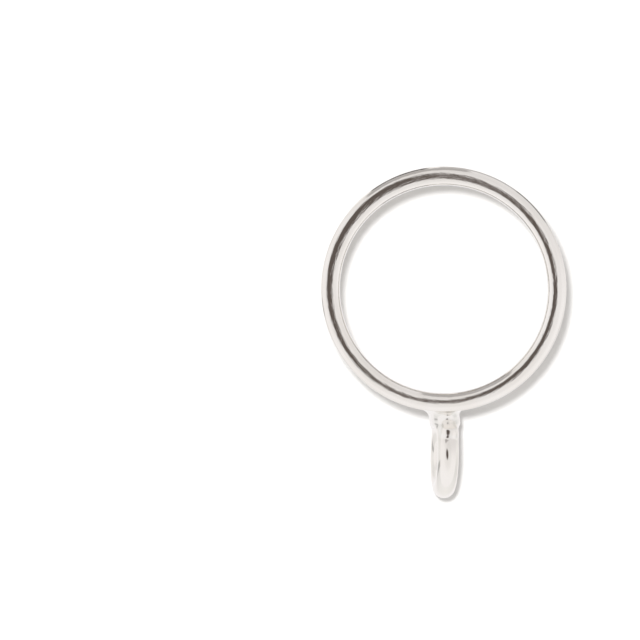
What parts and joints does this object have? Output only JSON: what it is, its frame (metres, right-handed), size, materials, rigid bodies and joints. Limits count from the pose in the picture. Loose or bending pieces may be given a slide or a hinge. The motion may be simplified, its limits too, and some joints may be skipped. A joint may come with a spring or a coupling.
{
  "type": "cord connector",
  "caption": "Plated ring bail: a short wide band that slides over a cord, with a small soldered wire loop that carries a pendant.",
  "frame": {"origin": "centre of the cord bore, midway between the two rims", "axes": "+Z along the cord bore; the wire loop points to -Y and its eye faces along X; the lower rim, on which it lies, is 3 mm below the origin"},
  "size_m": [0.012, 0.0162, 0.006],
  "materials": {
    "silver_plate": "bright silver plate on brass, polished to a mirror with faint polishing lines"
  },
  "bodies": {
    "root": {"bail": "silver_plate"}
  },
  "joints": []
}
